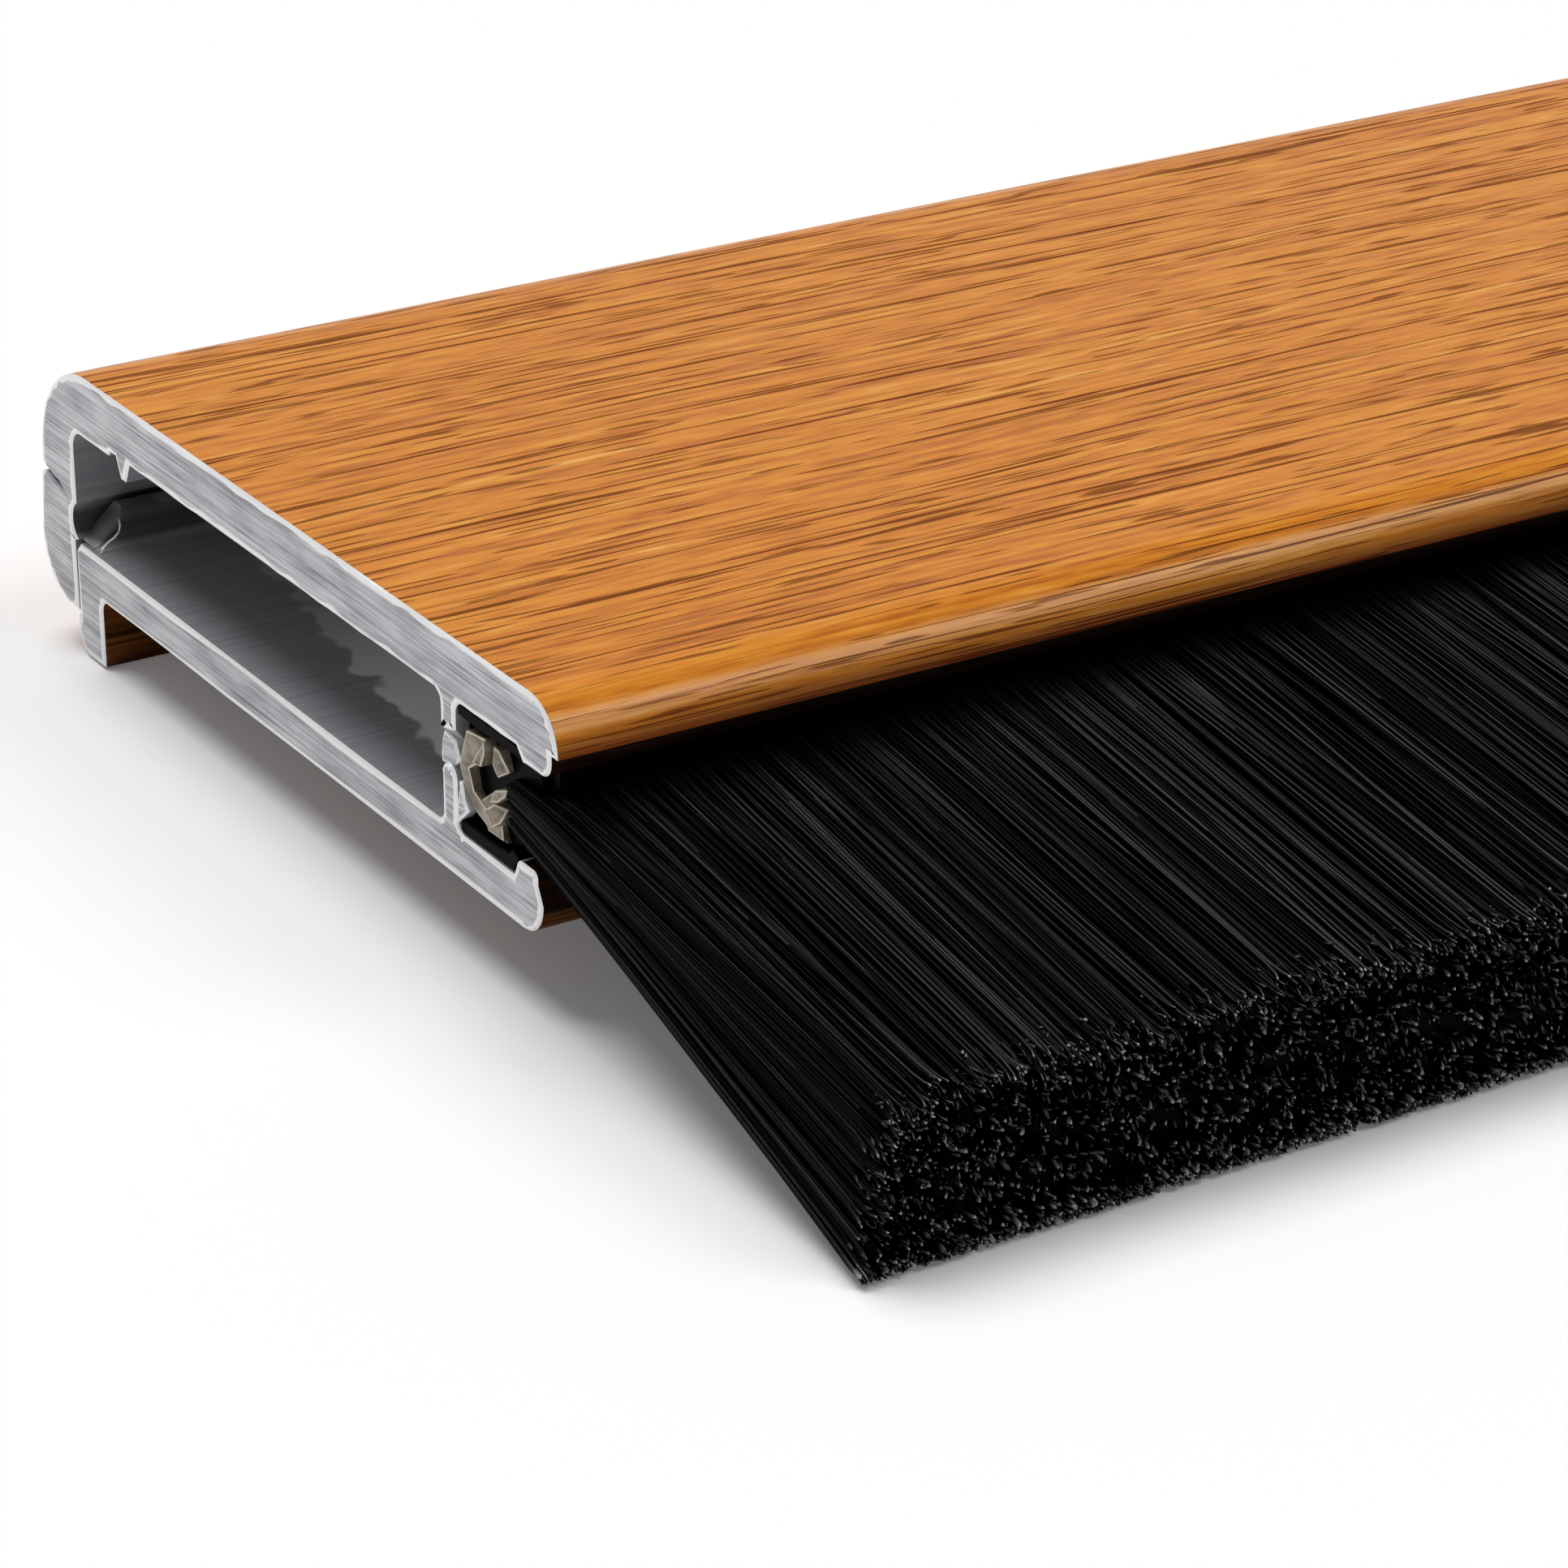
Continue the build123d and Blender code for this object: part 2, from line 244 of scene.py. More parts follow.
# Dull mill-finish aluminium inside the hollow, with faint die lines along the strip.
innerLook = dict(
    dark="#919296", pale="#a2a3a7", lineLength=12.0, lineWidth=0.25, ragged=3.0, worn="#ffffff",
    wornFrom=5.9, wornLean=0.143, wornDepth=12.0, wornRun=9.0, dirt="#1a1919", dirtTop=5.6, dirtFoot=4.3,
    dirtDepth=8.0, dirtRun=3.0, dirtShare=0.8, dirtRagged=1.2, dirtSoft=0.3, metallic=0.1, roughness=0.42,
)


def innerMaterial(look):
    material, tree, shader, values = newMaterial("millAluminium", look)
    values.update(places(tree))
    cornerShadeHigh, cornerShadeLow = look["dirtTop"] + look["dirtSoft"], look["dirtTop"] - look["dirtSoft"]
    workOut(tree, values, [
        "lineX = along / lineLength", "lineY = depth / lineWidth", "lineZ = height / lineWidth",
        "lines = point lineX lineY lineZ", "lines = noise lines 1 3", "spot = point along depth height",
        "torn = noise spot 0.5 2", "torn = torn - 0.5",
        # Painted light: a paler, ragged pool of light inside each end, towards the front leg.
        "inward = ABSOLUTE along", ("inward", "-", endHigh, "inward"), "inward = torn * ragged + inward",
        "inward = depth * wornLean + inward",
        ("wear", "map", "inward", "wornFrom", look["wornFrom"] + 0.25, 0.0, 1.0),
        ("front", "map", "depth", "wornDepth", look["wornDepth"] + look["wornRun"], 0.3, 0.9),
        "wear = wear * front",
        # Painted shade in the rear corner, round the snap bead.
        "level = torn * dirtRagged + height", ("soil", "map", "level", cornerShadeHigh, cornerShadeLow, 0.0, 1.0),
        ("clear", "map", "height", "dirtFoot", look["dirtFoot"] + 0.2, 0.0, "dirtShare"),
        ("behind", "map", "depth", "dirtDepth", look["dirtDepth"] - look["dirtRun"], 0.0, 1.0),
        "soil = soil * clear", "soil = soil * behind",
    ])
    values["colour"] = addNode(tree, "ShaderNodeValToRGB", {"Fac": values["lines"]},
                               [(0.35, look["dark"]), (0.65, look["pale"])]).outputs["Color"]
    workOut(tree, values, ["colour = blend wear colour worn", "colour = blend soil colour dirt"])
    feed(tree, shader, {"Base Color": values["colour"], "Metallic": look["metallic"],
                        "Roughness": look["roughness"]})
    return material


# Zinc-coated steel of the rolled channel, khaki grey and blotchy; torn edges show paler.
zincLook = dict(dark="#665c4c", pale="#a89d8b", edge="#d9d1c2", blotch=0.7, metallic=0.35, roughness=0.5)


def zincMaterial(name, look, *stored):
    material, tree, shader, values = newMaterial(name, look, *stored)
    values["place"] = addNode(tree, "ShaderNodeTexCoord").outputs["Object"]
    workOut(tree, values, [("spot", "stretch", "place", (1 / (look["blotch"] * mm),) * 3),
                           "blotches = noise spot 1 4 0 0.65"])
    values["colour"] = addNode(tree, "ShaderNodeValToRGB", {"Fac": values["blotches"]},
                               [(0.36, look["dark"]), (0.64, look["pale"])]).outputs["Color"]
    if "rim" in values:
        workOut(tree, values, ["colour = blend rim colour edge"])
    feed(tree, shader, {"Base Color": values["colour"], "Metallic": look["metallic"],
                        "Roughness": look["roughness"]})
    return material


# Black nylon filaments: satin along their length, and a painted glint, pale grey, on some of the cut ends.
nylonLook = dict(
    body="#010101", pale="#060606", glint="#c4c4c6", roughness=0.34, tipRoughness=0.16, dullest=0.045,
    glossiest=0.42, tipGloss=1.0, tipFrom=0.6, glintFrom=0.86, glints=0.6, ior=1.3,
)


def nylonMaterial(look):
    material, tree, shader, values = newMaterial("blackNylon", look, "shade", "atTip")
    workOut(tree, values, [
        "sheen = POWER shade 2", "sheen = map sheen 0 1 dullest glossiest",
        "hooked = map atTip tipFrom glintFrom 0 1", "extra = tipGloss - sheen",
        "sheen = hooked * extra + sheen", "rough = map hooked 0 1 roughness tipRoughness",
        "ended = map atTip glintFrom 1 0 1", "glinting = map shade glints 1 0 1",
        "glinting = glinting * ended", "colour = blend shade body pale",
        "colour = blend glinting colour glint",
    ])
    feed(tree, shader, {"Base Color": values["colour"], "Roughness": values["rough"],
                        "Specular IOR Level": values["sheen"], "IOR": look["ior"]})
    return material


film = filmMaterial("woodGrainFilm", filmLook)
baseShadeFilm = filmMaterial("woodGrainFilmLow", baseShadeFilmLook)
shadeFilm = filmMaterial("woodGrainFilmShade", shadeFilmLook)
sawn = cutMaterial(cutLook)
inner = innerMaterial(innerLook)
zinc = zincMaterial("galvanisedSteel", zincLook)
tornZinc = zincMaterial("tornSteel", zincLook, "rim")
nylon = nylonMaterial(nylonLook)
print("stage: materials")

skin, bare, sawCut, shaded = range(4)  # finishes of a bar's faces, in the order of its materials


def arc(centre, radius, start, stop, steps=9):
    turns = [math.radians(start + (stop - start) * i / steps) for i in range(steps + 1)]
    return [(centre[0] + radius * math.cos(a), centre[1] + radius * math.sin(a)) for a in turns]


def divided(runs, step):
    # Runs of (finish, points) become one closed outline of short sides, each with its finish.
    corners = [(point, finish) for finish, points in runs for point in points]
    points, finishes = [], []
    for (here, finish), (there, _) in zip(corners, corners[1:] + corners[:1]):
        length = math.dist(here, there)
        if length < 1e-6:
            continue
        count = max(1, math.ceil(length / step))
        for i in range(count):
            points.append(tuple(a + (b - a) * i / count for a, b in zip(here, there)))
            finishes.append(finish)
    area = sum(a[0] * b[1] - b[0] * a[1] for a, b in zip(points, points[1:] + points[:1]))
    if area > 0:
        points = points[::-1]
        finishes = finishes[::-1][1:] + finishes[-1:]
    return points, finishes


def inset(points, amounts, sharpest=0.55):
    # Each corner moves into the metal by its own amount; the outline runs clockwise in depth and height.
    moved = []
    for i, (x, y) in enumerate(points):
        before, after = points[i - 1], points[(i + 1) % len(points)]
        a, b = math.dist(before, (x, y)), math.dist((x, y), after)
        first = ((y - before[1]) / a, -(x - before[0]) / a)
        second = ((after[1] - y) / b, -(after[0] - x) / b)
        total = (first[0] + second[0], first[1] + second[1])
        share = 1 / max(sharpest, 1 + first[0] * second[0] + first[1] * second[1])
        moved.append((x + total[0] * share * amounts[i], y + total[1] * share * amounts[i]))
    return moved


# How the rim of a cut is broken: its bevel, and the width of the edge band painted near white as a highlight,
# both uneven.
sawEdge = dict(bevel=0.07, rim=0.26)
thinEdge = dict(bevel=0.04, rim=0.1)
sheetEdge = dict(bevel=0.03, rim=0.1)
tornEdge = dict(bevel=0.03, rim=0.08)
sliverEdge = dict(bevel=0.06, rim=0.1)
fibreEdge = dict(bevel=0.05, rim=0.1)
bevelSpread = (0.6, 1.5)
rimSpread = (0.55, 1.35)
holeSides = 32


def drawnBar(name, runs, span, edge, slots, step=1.0, change=None, stations=(), holes=(), lean=(0, 0),
             seed=1):
    # A bar along X with a sawn rim at both ends. change(point, x) reshapes the outline near the cut.
    chance = random.Random(seed)
    points, finishes = divided(runs, step)
    count = len(points)
    travelled = [0.0]
    for here, there in zip(points, points[1:]):
        travelled.append(travelled[-1] + math.dist(here, there))
    burr = [edge["bevel"] * chance.uniform(*bevelSpread) for _ in points]
    width = [edge["rim"] * chance.uniform(*rimSpread) for _ in points]
    # rim marks the edge band that sawn faces paint near white as a highlight; the crack gets none
    bright = [0.0 if finish == "crack" else 1.0 for finish in finishes]
    finishes = [bare if finish == "crack" else finish for finish in finishes]
    vertices, across, rim, faces, kinds = [], [], [], [], []

    def addRing(x, ring, value):
        start = len(vertices)
        tilt = 1.0 if x < (span[0] + span[1]) / 2 else 0.0
        vertices.extend(((x + tilt * (lean[0] * (d - points[0][0]) + lean[1] * (z - points[0][1]))) * mm,
                         (rear - d) * mm, z * mm) for d, z in ring)
        across.extend(travelled)
        rim.extend([value * b for b in bright])
        return start

    def join(first, second, kind=None):
        for i in range(count):
            j = (i + 1) % count
            if first in barRings and second in barRings and i in pierced:
                continue
            faces.append((first + i, second + i, second + j, first + j))
            kinds.append(finishes[i] if kind is None else kind)

    xs = [span[0] + s for s in (edge["bevel"], *stations)]
    xs += [span[1] - s for s in (*stations[::-1], edge["bevel"])]
    shapes = [[change(p, x - span[0]) for p in points] if change else points for x in xs]
    pierced = {}  # sides with holes through them
    for i in range(count):
        j = (i + 1) % count
        for x, depth, radius in holes:
            low, high = sorted((points[i][0], points[j][0]))
            if low < depth - radius and high > depth + radius:
                pierced.setdefault(i, []).append((x, depth, radius))

    capA = addRing(span[0], inset(shapes[0], width), 0.0)
    cutA = addRing(span[0], inset(shapes[0], burr), 1.0)
    barRings = [addRing(x, shape, 1.0) for x, shape in zip(xs, shapes)]
    cutB = addRing(span[1], inset(shapes[-1], burr), 1.0)
    capB = addRing(span[1], inset(shapes[-1], width), 0.0)
    join(capA, cutA, sawCut)
    join(cutA, barRings[0], sawCut)
    for here, there in zip(barRings, barRings[1:]):
        join(here, there)
    join(barRings[-1], cutB, sawCut)
    join(cutB, capB, sawCut)
    for start in (capA, capB):
        ring = [Vector((vertices[start + i][1], vertices[start + i][2], 0)) for i in range(count)]
        for corners in tessellate_polygon([ring]):
            faces.append(tuple(start + corner for corner in corners))
            kinds.append(sawCut)

    walls = {}
    for i, spots in pierced.items():
        j = (i + 1) % count
        a, b = barRings[0], barRings[-1]
        order = [a + i, b + i, b + j, a + j]
        rings = [[Vector((vertices[v][0], vertices[v][1], 0)) for v in order]]
        for x, depth, radius in spots:
            hole = range(len(vertices), len(vertices) + holeSides)
            for k in range(holeSides):
                turn = math.tau * k / holeSides
                d = depth + radius * math.sin(turn)
                vertices.append(((x + radius * math.cos(turn)) * mm, (rear - d) * mm, points[i][1] * mm))
                share = (d - points[i][0]) / (points[j][0] - points[i][0])
                across.append(travelled[i] + share * abs(points[j][0] - points[i][0]))
                rim.append(0.0)
            rings.append([Vector((vertices[v][0], vertices[v][1], 0)) for v in hole])
            order.extend(hole)
            walls.setdefault((x, depth), []).append(hole[0])
        for corners in tessellate_polygon(rings):
            faces.append(tuple(order[corner] for corner in corners))
            kinds.append(finishes[i])
    for low, high in walls.values():
        for k in range(holeSides):
            after = (k + 1) % holeSides
            faces.append((low + k, low + after, high + after, high + k))
            kinds.append(bare)
    return finishMesh(name, vertices, faces, kinds, slots, {"across": across, "rim": rim})


def addObject(name, data):
    piece = bpy.data.objects.new(name, data)
    bpy.context.scene.collection.objects.link(piece)
    return piece


def finishMesh(name, vertices, faces, kinds, slots, values, sharpFrom=0.6):
    mesh = bpy.data.meshes.new(name)
    mesh.from_pydata(vertices, [], faces)
    for material in slots:
        mesh.materials.append(material)
    mesh.polygons.foreach_set("material_index", kinds)
    for key, numbers in values.items():
        mesh.attributes.new(key, "FLOAT", "POINT").data.foreach_set("value", numbers)
    shape = bmesh.new()
    shape.from_mesh(mesh)
    bmesh.ops.recalc_face_normals(shape, faces=shape.faces)
    shape.to_mesh(mesh)
    shape.free()
    mesh.polygons.foreach_set("use_smooth", [True] * len(mesh.polygons))
    mesh.set_sharp_from_angle(angle=sharpFrom)
    mesh.update()
    return addObject(name, mesh)


def settle(piece, slotName, *nodes):
    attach(piece, "root")
    if nodes:
        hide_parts(*nodes)
    return piece


# Section sizes in millimetres: depth from the rear edge, height from the floor.
cover = dict(
    top=10.8, under=8.7, rearInset=0.4, rearRadius=4.0, noseDepth=38.0, noseRadius=1.67, lipFront=37.6,
    lipUnder=8.28, lipBack=35.5, lipRadius=0.6, lipDrop=0.42, legFront=31.5, legWall=0.9, legTip=6.5,
    fillet=0.45, ribDepth=7.35, ribRoot=0.5, ribTip=0.15, ribFoot=7.95, padUnder=8.5, padEnd=6.35,
    padSlope=0.2, wallInner=3.05, cornerRadius=0.7, pocketDepth=3.45, pocketHeight=4.993, pocketRadius=0.8,
    clawFoot=1.5, clawInner=2.75, clawTop=4.2, clawRadius=2.3, clawLean=0.3, seamTop=6.45, seamDeep=6.25,
    seamFoot=6.05, seamDepth=0.75, breakHeight=1.0, breakLength=0.9, breakZone=0.4, breakLean=0.25,
    breakRough=0.12, breakEase=4, crackHalf=0.06,
    crack=[(1.3, 6.0), (1.7, 5.93), (2.58, 5.7), (1.72, 6.05), (1.3, 6.13)], crackFrom=0.2, crackRun=0.6,
    crackDepth=2.6, crackLow=5.7, crackHigh=6.2, margin=0.01,
)
coverSizes = SimpleNamespace(**cover)


def coverRuns(s):
    r, f, c = s.rearRadius, s.fillet, s.cornerRadius
    legBack = s.legFront - s.legWall
    noseTop = s.top - s.noseRadius
    lipCentre = (s.lipFront - s.lipRadius, s.lipUnder + s.lipRadius)
    half = s.legWall / 2
    outside = arc((s.rearInset + r, s.top - r), r, 180, 90, 16)
    outside += arc((s.noseDepth - s.noseRadius, noseTop), s.noseRadius, 90, 0, 14)
    lip = [(s.lipFront, noseTop)]
    lip += arc(lipCentre, s.lipRadius, 0, -60, 6)
    inside = arc(lipCentre, s.lipRadius, -75, -90, 2)
    inside += [(s.lipBack + s.lipDrop, s.lipUnder), (s.lipBack, s.under)]
    inside += arc((s.legFront + f, s.under - f), f, 90, 180, 6)
    inside += arc((s.legFront - half, s.legTip + half), half, 0, -180, 12)
    inside += arc((legBack - f, s.under - f), f, 0, 90, 6)
    inside += [(s.ribDepth + s.ribRoot, s.under), (s.ribDepth + s.ribTip, s.ribFoot),
               (s.ribDepth - s.ribTip, s.ribFoot), (s.ribDepth - s.ribRoot, s.under),
               (s.padEnd, s.under), (s.padEnd - s.padSlope, s.padUnder)]
    inside += arc((s.wallInner + c, s.padUnder - c), c, 90, 180, 8)
    inside += arc((s.pocketDepth, s.pocketHeight), s.pocketRadius, 120, 240, 12)
    inside += [(s.clawInner, s.clawTop)]
    claw = [(s.clawInner, s.clawFoot)]
    claw += arc((s.clawRadius, s.clawFoot + s.clawRadius), s.clawRadius, 270, 180, 14)
    claw += [(s.clawLean, s.seamFoot)]
    crack = [(s.seamDepth, s.seamDeep - s.crackHalf), *s.crack,
             (s.seamDepth, s.seamDeep + s.crackHalf)]
    seam = [(s.rearInset, s.seamTop)]
    return [(skin, outside), (shaded, lip), (bare, inside), (skin, claw), ("crack", crack), (skin, seam)]


def coverChange(point, x):
    # At each cut the inner leg is broken off slantwise and a hairline crack runs in from the seam.
    d, z = point
    s = coverSizes
    x = min(x, endHigh - endLow - x)
    legBack = s.legFront - s.legWall
    zone = s.legTip + s.breakHeight + s.breakZone
    if legBack - s.margin < d < s.legFront + s.margin and z < zone:
        share = max(0.0, min(1.0, 1 - x / s.breakLength))
        line = s.legTip + share * s.breakHeight + s.breakLean * share * (d - s.legFront + s.legWall)
        z = max(z, line + s.breakRough * (z - s.legTip) * min(1.0, share * s.breakEase))
    inCrack = s.seamDepth + s.margin < d < s.crackDepth and s.crackLow < z < s.crackHigh
    if inCrack and x > s.crackFrom:
        share = max(0.0, 1 - (x - s.crackFrom) / s.crackRun)
        d = s.seamDepth + (d - s.seamDepth) * share
        z = s.seamDeep + (z - s.seamDeep) * share
    return d, z


coverBar = drawnBar("coverExtrusion", coverRuns(coverSizes), (endLow, endHigh), sawEdge,
                    (film, inner, sawn, shadeFilm), change=coverChange, stations=(0.2, 0.5, 0.7, 0.9), seed=3)
settle(coverBar, "wood_grain_cover", "cover_profile")

base = dict(
    top=4.2, under=2.6, rear=2.95, ledge=1.3, footRear=2.75, footRadius=0.9, footFront=4.85, fillet=0.45,
    noseDepth=36.9, noseRadius=1.2, rimFace=36.6, rimFoot=0.2, rimTop=4.84, rimBack=35.42, rimRoot=35.1,
    rimRadius=0.25, rimCurve=[(0.2, 0.0), (0.06, -0.03), (-0.04, -0.1), (-0.1, -0.2)], legFront=31.5,
    legWall=0.9, legTip=6.4, holeDepth=19.0, holeRadius=2.25, holeStrip=4, holeEnd=75.0, holeCount=4,
    beadDepth=3.45, beadHeight=4.993, beadRadius=0.6, beadNeck=0.35, beadRelief=1.0, beadStart=0.24,
    beadSlope=1.2, beadLeast=0.1, beadCurve=0.8, beadSink=0.1, toeDepth=1.4, toeHeight=0.62, toeRadius=0.72,
    chip=0.3,
)
baseSizes = SimpleNamespace(**base)


def baseRuns(s):
    f, half = s.fillet, s.legWall / 2
    legBack = s.legFront - s.legWall
    holeBack, holeFront = s.holeDepth - s.holeStrip, s.holeDepth + s.holeStrip
    inside = [(s.rear + s.chip, s.top), (s.rear, s.top - s.chip), (s.rear, s.ledge)]
    outside = [(s.footRear, s.ledge)]
    outside += arc((s.footRear + s.footRadius, s.footRadius), s.footRadius, 180, 270)
    outside += [(s.footFront, 0.0)]
    outside += arc((s.footFront + f, s.under - f), f, 180, 90, 6)
    outside += [(holeBack, s.under), (holeFront, s.under)]
    nose = (s.noseDepth - s.noseRadius, s.under + s.noseRadius)
    outside += arc(nose, s.noseRadius, -90, -22, 8)
    face = arc(nose, s.noseRadius, -14, 0, 3) + [(s.rimFace, s.top + s.rimFoot)]
    face += arc((s.rimFace - s.rimRadius, s.rimTop - s.rimRadius), s.rimRadius, 0, 90, 5)
    rim = [(s.rimBack + d, s.rimTop + z) for d, z in s.rimCurve] + [(s.rimRoot, s.top)]
    rim += arc((s.legFront + f, s.top + f), f, 270, 180, 6)
    rim += arc((s.legFront - half, s.legTip - half), half, 0, 180, 12)
    rim += arc((legBack - f, s.top + f), f, 360, 270, 6)
    rim += [(holeFront, s.top), (holeBack, s.top)]
    return [(bare, inside), (skin, outside), (shaded, face), (bare, rim)]


holePitch = (endHigh - endLow - 2 * base["holeEnd"]) / (base["holeCount"] - 1)
screwHoles = [(endLow + base["holeEnd"] + holePitch * i, base["holeDepth"], base["holeRadius"])
              for i in range(base["holeCount"])]
baseBar = drawnBar("baseExtrusion", baseRuns(baseSizes), (endLow, endHigh), sawEdge,
                   (baseShadeFilm, inner, sawn, shadeFilm), step=8.5, holes=screwHoles, seed=5)
settle(baseBar, "wood_grain_base", "base_profile")


def beadRuns(s):
    lean = math.degrees(math.asin(s.beadNeck / s.beadRadius))
    ring = arc((s.beadDepth, s.beadHeight), s.beadRadius, 270 - lean, -10, 22)
    toe = arc((s.beadDepth + s.toeDepth, s.top + s.toeHeight), s.toeRadius, 190, 262, 7)
    return [(bare, ring + toe + [(s.beadDepth - s.beadSink, s.top - s.beadSink)])]


def beadChange(point, x):
    # The bead's near end is torn off in a slope.
    d, z = point
    s = baseSizes
    share = min(1.0, max(s.beadLeast, x / s.beadSlope)) ** s.beadCurve
    return d, s.top - s.beadSink + (z - s.top + s.beadSink) * share


beadSpan = (endLow + base["beadStart"], endHigh - base["beadRelief"])
bead = drawnBar("snapBead", beadRuns(baseSizes), beadSpan, thinEdge, (baseShadeFilm, inner, inner),
                change=beadChange, stations=(0.15, 0.3, 0.45, 0.6, 0.75, 0.9, 1.05, 1.2), seed=6)
settle(bead, "wood_grain_base")

# A thin burr along the torn slope, painted near white as a highlight: from the near end, depth and height.
beadBurr = dict(
    radius=0.045, thin=0.7, swell=0.3, sides=6,
    points=[(0.24, 4.55, 4.22), (0.4, 4.42, 4.36), (0.62, 4.38, 4.52), (0.85, 4.42, 4.66), (1.05, 4.36, 4.8),
            (1.2, 4.2, 4.98), (1.25, 3.95, 5.18)],
)


def burrLine(name, look, material):
    sides = look["sides"]
    spots = [Vector(((endLow + x) * mm, (rear - d) * mm, z * mm)) for x, d, z in look["points"]]
    vertices, faces = [], []
    for i, spot in enumerate(spots):
        ahead = (spots[min(i + 1, len(spots) - 1)] - spots[max(i - 1, 0)]).normalized()
        side = ahead.cross(Vector((0, 0, 1))).normalized()
        up = side.cross(ahead)
        thick = look["radius"] * mm * (look["thin"] + look["swell"] * (i % 2))
        vertices += [spot + thick * (side * math.cos(t) + up * math.sin(t))
                     for t in (math.tau * k / sides for k in range(sides))]
    for i in range(len(spots) - 1):
        for k in range(sides):
            a, b = i * sides + k, i * sides + (k + 1) % sides
            faces.append((a, b, b + sides, a + sides))
    faces += [tuple(range(sides)), tuple(range(len(vertices) - sides, len(vertices)))]
    rim = [1.0] * len(vertices)
    return finishMesh(name, vertices, faces, [0] * len(faces), (material,), {"rim": rim, "across": rim},
                      sharpFrom=2.0)


settle(burrLine("snapBurr", beadBurr, sawn), "wood_grain_base")
print("stage: extrusions")

channel = dict(
    back=31.6, front=34.6, low=4.7, high=8.2, radius=1.3, wall=0.45, mouth=0.75, torn=0.6, overlap=0.1,
)
wire = dict(depth=33.0, height=6.45, radius=0.5, setback=2.0)


def channelRuns(s):
    r, w = s.radius, s.wall
    middle = (s.low + s.high) / 2
    corners = [((s.front - r, s.high - r), 0), ((s.back + r, s.high - r), 90),
               ((s.back + r, s.low + r), 180), ((s.front - r, s.low + r), 270)]
    ring = [(s.front, middle + s.mouth)]
    for corner, turn in corners:
        ring += arc(corner, r, turn, turn + 90)
    ring += [(s.front, middle - s.mouth), (s.front - w, middle - s.mouth)]
    for corner, turn in corners[::-1]:
        ring += arc(corner, r - w, turn + 90, turn)
    ring += [(s.front - w, middle + s.mouth)]
    return [(skin, ring)]


channelBar = drawnBar("steelChannel", channelRuns(SimpleNamespace(**channel)),
                      (endLow + channel["torn"], endHigh), sheetEdge, [zinc] * 3, step=0.3, seed=8)
settle(channelBar, "galvanised_steel", "brush_channel")

# The near end of the channel was torn by the saw: a bent back wall and loose bits of its lips.
tornBits = {
    "tornBack": {"from": 0.05, "lean": (0.05, -0.06), "corners": [
        (32.2, 7.95), (33.35, 8.05), (32.8, 7.05), (32.15, 6.6), (32.35, 5.9), (33.25, 5.4), (34.2, 4.8),
        (33.2, 4.85), (32.45, 5.2), (31.85, 5.9), (31.6, 6.45), (31.75, 7.0), (32.0, 7.5)]},
    "tornChip": {"from": 0.03, "lean": (0.35, 0.1), "corners": [
        (33.35, 8.0), (33.4, 7.6), (33.3, 7.15), (32.95, 7.2)]},
    "tornUpperLip": {"from": 0.05, "lean": (0.3, -0.15), "corners": [
        (33.95, 8.05), (34.15, 7.95), (34.45, 7.3), (33.9, 6.95), (33.75, 7.35)]},
    "tornLowerLip": {"from": 0.02, "lean": (0.1, 0.3), "corners": [
        (34.0, 6.6), (34.6, 6.8), (34.6, 6.6), (34.25, 6.3), (33.9, 6.2)]},
    "tornLowerCorner": {"from": 0.04, "lean": (0.3, 0.25), "corners": [
        (33.9, 6.1), (34.5, 6.1), (34.3, 5.6), (34.0, 5.35), (33.55, 5.8)]},
    "tornFloor": {"from": 0.25, "lean": (0.1, 0.2), "corners": [
        (32.6, 5.65), (33.2, 6.15), (33.8, 6.4), (33.6, 5.8), (33.9, 5.3), (34.1, 4.85), (33.25, 4.9)]},
}
tornEnd = endLow + channel["torn"] + channel["overlap"]
for number, (name, bit) in enumerate(tornBits.items()):
    shard = drawnBar(name, [(skin, bit["corners"])], (endLow + bit["from"], tornEnd), tornEdge,
                     (zinc, zinc, tornZinc), step=0.35, lean=bit["lean"], seed=80 + number)
    settle(shard, "galvanised_steel")

# Slivers of aluminium left beside the two legs.
slivers = {
    "legTongue": {"from": 0.12, "to": 0.9, "lean": (0.15, 0.1), "corners": [
        (30.62, 7.4), (31.2, 7.15), (31.5, 6.6), (31.1, 6.2), (30.6, 6.3), (30.5, 6.85)]},
    "legLug": {"from": 0.1, "to": 0.5, "lean": (0.15, 0.1), "corners": [
        (31.52, 5.95), (31.66, 5.95), (31.85, 5.4), (32.1, 5.1), (31.56, 4.55), (31.52, 4.75)]},
}
for number, (name, bit) in enumerate(slivers.items()):
    sliver = drawnBar(name, [(skin, bit["corners"])], (endLow + bit["from"], endLow + bit["to"]), sliverEdge,
                      [sawn] * 3, step=0.3, lean=bit["lean"], seed=90 + number)
    settle(sliver, "wood_grain_base")

wireRing = arc((wire["depth"], wire["height"]), wire["radius"], 0, 345, 23)
wireBar = drawnBar("coreWire", [(skin, wireRing)], (endLow + wire["setback"], endHigh - wire["setback"]),
                   thinEdge, [zinc] * 3, seed=9)
settle(wireBar, "steel_wire", "core_wire")

